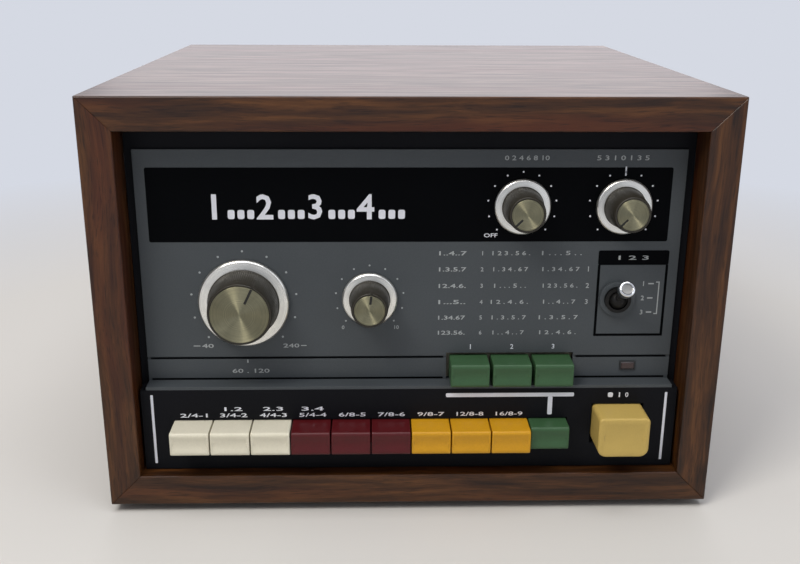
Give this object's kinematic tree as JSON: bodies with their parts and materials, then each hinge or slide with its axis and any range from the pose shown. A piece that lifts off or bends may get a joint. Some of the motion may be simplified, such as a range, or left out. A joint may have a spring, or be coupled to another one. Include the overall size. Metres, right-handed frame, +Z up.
{
  "type": "drum machine",
  "caption": "Tabletop rhythm unit in a mitred wooden sleeve: a recessed metal faceplate with skirted rotary knobs, a toggle, tab keys that latch, and a large start key.",
  "frame": {"origin": "middle of the whole outline, on the surface that the rubber feet stand on", "axes": "+Z up, +X to the right as seen from the front, +Y towards the rear; the faceplate looks along -Y"},
  "size_m": [0.285, 0.289, 0.197],
  "materials": {
    "walnut_board": "mitred boards with a walnut grain and a satin clear coat",
    "glue_block": "raw sawn softwood",
    "foot_rubber": "moulded",
    "steel_hardware": "nickel-plated steel",
    "zinc_plate": "zinc-plated steel sheet",
    "black_enamel": "satin black enamel on steel sheet",
    "grey_enamel": "dark grey enamel with a black printed band and pale screen-printed marks",
    "pot_steel": "plated steel can",
    "switch_phenolic": "phenolic body and plated bush",
    "chromed_handle": "polished chrome",
    "knob_plastic": "moulded, finely knurled round the side",
    "ring_aluminium": "polished and spun",
    "cap_aluminium": "spun finish with a pointer line",
    "shaft_steel": "turned",
    "cream_key": "moulded, with a shallow dish",
    "red_key": "moulded, with a shallow dish",
    "yellow_key": "moulded, with a shallow dish",
    "green_key": "moulded, with a shallow dish",
    "start_key_plastic": "moulded",
    "switch_body": "moulded",
    "lamp_lens": "dark red lens, unlit",
    "circuit_board": "brown laminate with parts",
    "transformer_iron": "laminated iron core with a taped winding",
    "jack_plastic": "moulded"
  },
  "bodies": {
    "cabinet": {"cabinet_top": "walnut_board", "cabinet_bottom": "walnut_board", "cabinet_left": "walnut_board", "cabinet_right": "walnut_board", "corner_blocks": "glue_block", "rubber_feet": "foot_rubber", "feet_screws": "steel_hardware", "chassis_base": "zinc_plate", "chassis_bolts": "steel_hardware", "panel_frame": "black_enamel", "front_panel": "grey_enamel", "key_panel": "black_enamel", "panel_nuts": "steel_hardware", "rear_cover": "black_enamel", "rear_screws": "steel_hardware", "potentiometers": "pot_steel", "control_nuts": "zinc_plate", "toggle_switch": "switch_phenolic", "rhythm_switch_bank": "switch_body", "selector_switch_bank": "switch_body", "start_switch": "switch_body", "tempo_lamp": "lamp_lens", "rhythm_board": "circuit_board", "power_board": "circuit_board", "board_standoffs": "zinc_plate", "power_transformer": "transformer_iron", "output_jacks": "jack_plastic", "cord_gland": "jack_plastic", "fuse_holder": "jack_plastic"},
    "volume_control": {"volume_knob": "knob_plastic", "volume_ring": "ring_aluminium", "volume_cap": "cap_aluminium", "volume_shaft": "shaft_steel"},
    "balance_control": {"balance_knob": "knob_plastic", "balance_ring": "ring_aluminium", "balance_cap": "cap_aluminium", "balance_shaft": "shaft_steel"},
    "tempo_control": {"tempo_knob": "knob_plastic", "tempo_ring": "ring_aluminium", "tempo_cap": "cap_aluminium", "tempo_shaft": "shaft_steel"},
    "fade_control": {"fade_knob": "knob_plastic", "fade_ring": "ring_aluminium", "fade_cap": "cap_aluminium", "fade_shaft": "shaft_steel"},
    "toggle_handle": {"toggle_lever": "chromed_handle"},
    "rhythm_tab_1": {"rhythm_key_1": "cream_key"},
    "rhythm_tab_2": {"rhythm_key_2": "cream_key"},
    "rhythm_tab_3": {"rhythm_key_3": "cream_key"},
    "rhythm_tab_4": {"rhythm_key_4": "red_key"},
    "rhythm_tab_5": {"rhythm_key_5": "red_key"},
    "rhythm_tab_6": {"rhythm_key_6": "red_key"},
    "rhythm_tab_7": {"rhythm_key_7": "yellow_key"},
    "rhythm_tab_8": {"rhythm_key_8": "yellow_key"},
    "rhythm_tab_9": {"rhythm_key_9": "yellow_key"},
    "rhythm_tab_10": {"rhythm_key_10": "green_key"},
    "selector_tab_1": {"selector_key_1": "green_key"},
    "selector_tab_2": {"selector_key_2": "green_key"},
    "selector_tab_3": {"selector_key_3": "green_key"},
    "start_tab": {"start_key": "start_key_plastic"}
  },
  "joints": [
    {"name": "volume_turn", "type": "hinge", "parent": "cabinet", "child": "volume_control", "pos_m": [0.05, -0.1205, 0.1463], "axis": [0, 1, 0], "range_deg": [0, 270]},
    {"name": "balance_turn", "type": "hinge", "parent": "cabinet", "child": "balance_control", "pos_m": [0.096, -0.1205, 0.1463], "axis": [0, 1, 0], "range_deg": [0, 270]},
    {"name": "tempo_turn", "type": "hinge", "parent": "cabinet", "child": "tempo_control", "pos_m": [-0.077, -0.1205, 0.1009], "axis": [0, 1, 0], "range_deg": [-161, 109]},
    {"name": "fade_turn", "type": "hinge", "parent": "cabinet", "child": "fade_control", "pos_m": [-0.019, -0.1205, 0.1026], "axis": [0, 1, 0], "range_deg": [-142, 128]},
    {"name": "toggle_tilt", "type": "hinge", "parent": "cabinet", "child": "toggle_handle", "pos_m": [0.096, -0.123, 0.1022], "axis": [1, 0, 0], "range_deg": [0, 68]},
    {"name": "rhythm_key_1_press", "type": "slide", "parent": "cabinet", "child": "rhythm_tab_1", "axis": [0, 1, 0], "range_m": [0, 0.004], "stiffness_N_per_m": 300, "springref_m": -0.003},
    {"name": "rhythm_key_2_press", "type": "slide", "parent": "cabinet", "child": "rhythm_tab_2", "axis": [0, 1, 0], "range_m": [0, 0.004], "stiffness_N_per_m": 300, "springref_m": -0.003},
    {"name": "rhythm_key_3_press", "type": "slide", "parent": "cabinet", "child": "rhythm_tab_3", "axis": [0, 1, 0], "range_m": [0, 0.004], "stiffness_N_per_m": 300, "springref_m": -0.003},
    {"name": "rhythm_key_4_press", "type": "slide", "parent": "cabinet", "child": "rhythm_tab_4", "axis": [0, 1, 0], "range_m": [0, 0.004], "stiffness_N_per_m": 300, "springref_m": -0.003},
    {"name": "rhythm_key_5_press", "type": "slide", "parent": "cabinet", "child": "rhythm_tab_5", "axis": [0, 1, 0], "range_m": [0, 0.004], "stiffness_N_per_m": 300, "springref_m": -0.003},
    {"name": "rhythm_key_6_press", "type": "slide", "parent": "cabinet", "child": "rhythm_tab_6", "axis": [0, 1, 0], "range_m": [0, 0.004], "stiffness_N_per_m": 300, "springref_m": -0.003},
    {"name": "rhythm_key_7_press", "type": "slide", "parent": "cabinet", "child": "rhythm_tab_7", "axis": [0, 1, 0], "range_m": [0, 0.004], "stiffness_N_per_m": 300, "springref_m": -0.003},
    {"name": "rhythm_key_8_press", "type": "slide", "parent": "cabinet", "child": "rhythm_tab_8", "axis": [0, 1, 0], "range_m": [0, 0.004], "stiffness_N_per_m": 300, "springref_m": -0.003},
    {"name": "rhythm_key_9_press", "type": "slide", "parent": "cabinet", "child": "rhythm_tab_9", "axis": [0, 1, 0], "range_m": [0, 0.004], "stiffness_N_per_m": 300, "springref_m": -0.003},
    {"name": "rhythm_key_10_press", "type": "slide", "parent": "cabinet", "child": "rhythm_tab_10", "axis": [0, 1, 0], "range_m": [-0.004, 0]},
    {"name": "selector_key_1_press", "type": "slide", "parent": "cabinet", "child": "selector_tab_1", "axis": [0, 1, 0], "range_m": [0, 0.004], "stiffness_N_per_m": 300, "springref_m": -0.003},
    {"name": "selector_key_2_press", "type": "slide", "parent": "cabinet", "child": "selector_tab_2", "axis": [0, 1, 0], "range_m": [0, 0.004], "stiffness_N_per_m": 300, "springref_m": -0.003},
    {"name": "selector_key_3_press", "type": "slide", "parent": "cabinet", "child": "selector_tab_3", "axis": [0, 1, 0], "range_m": [0, 0.004], "stiffness_N_per_m": 300, "springref_m": -0.003},
    {"name": "start_key_press", "type": "slide", "parent": "cabinet", "child": "start_tab", "axis": [0, 1, 0], "range_m": [0, 0.004], "stiffness_N_per_m": 300, "springref_m": -0.003}
  ]
}
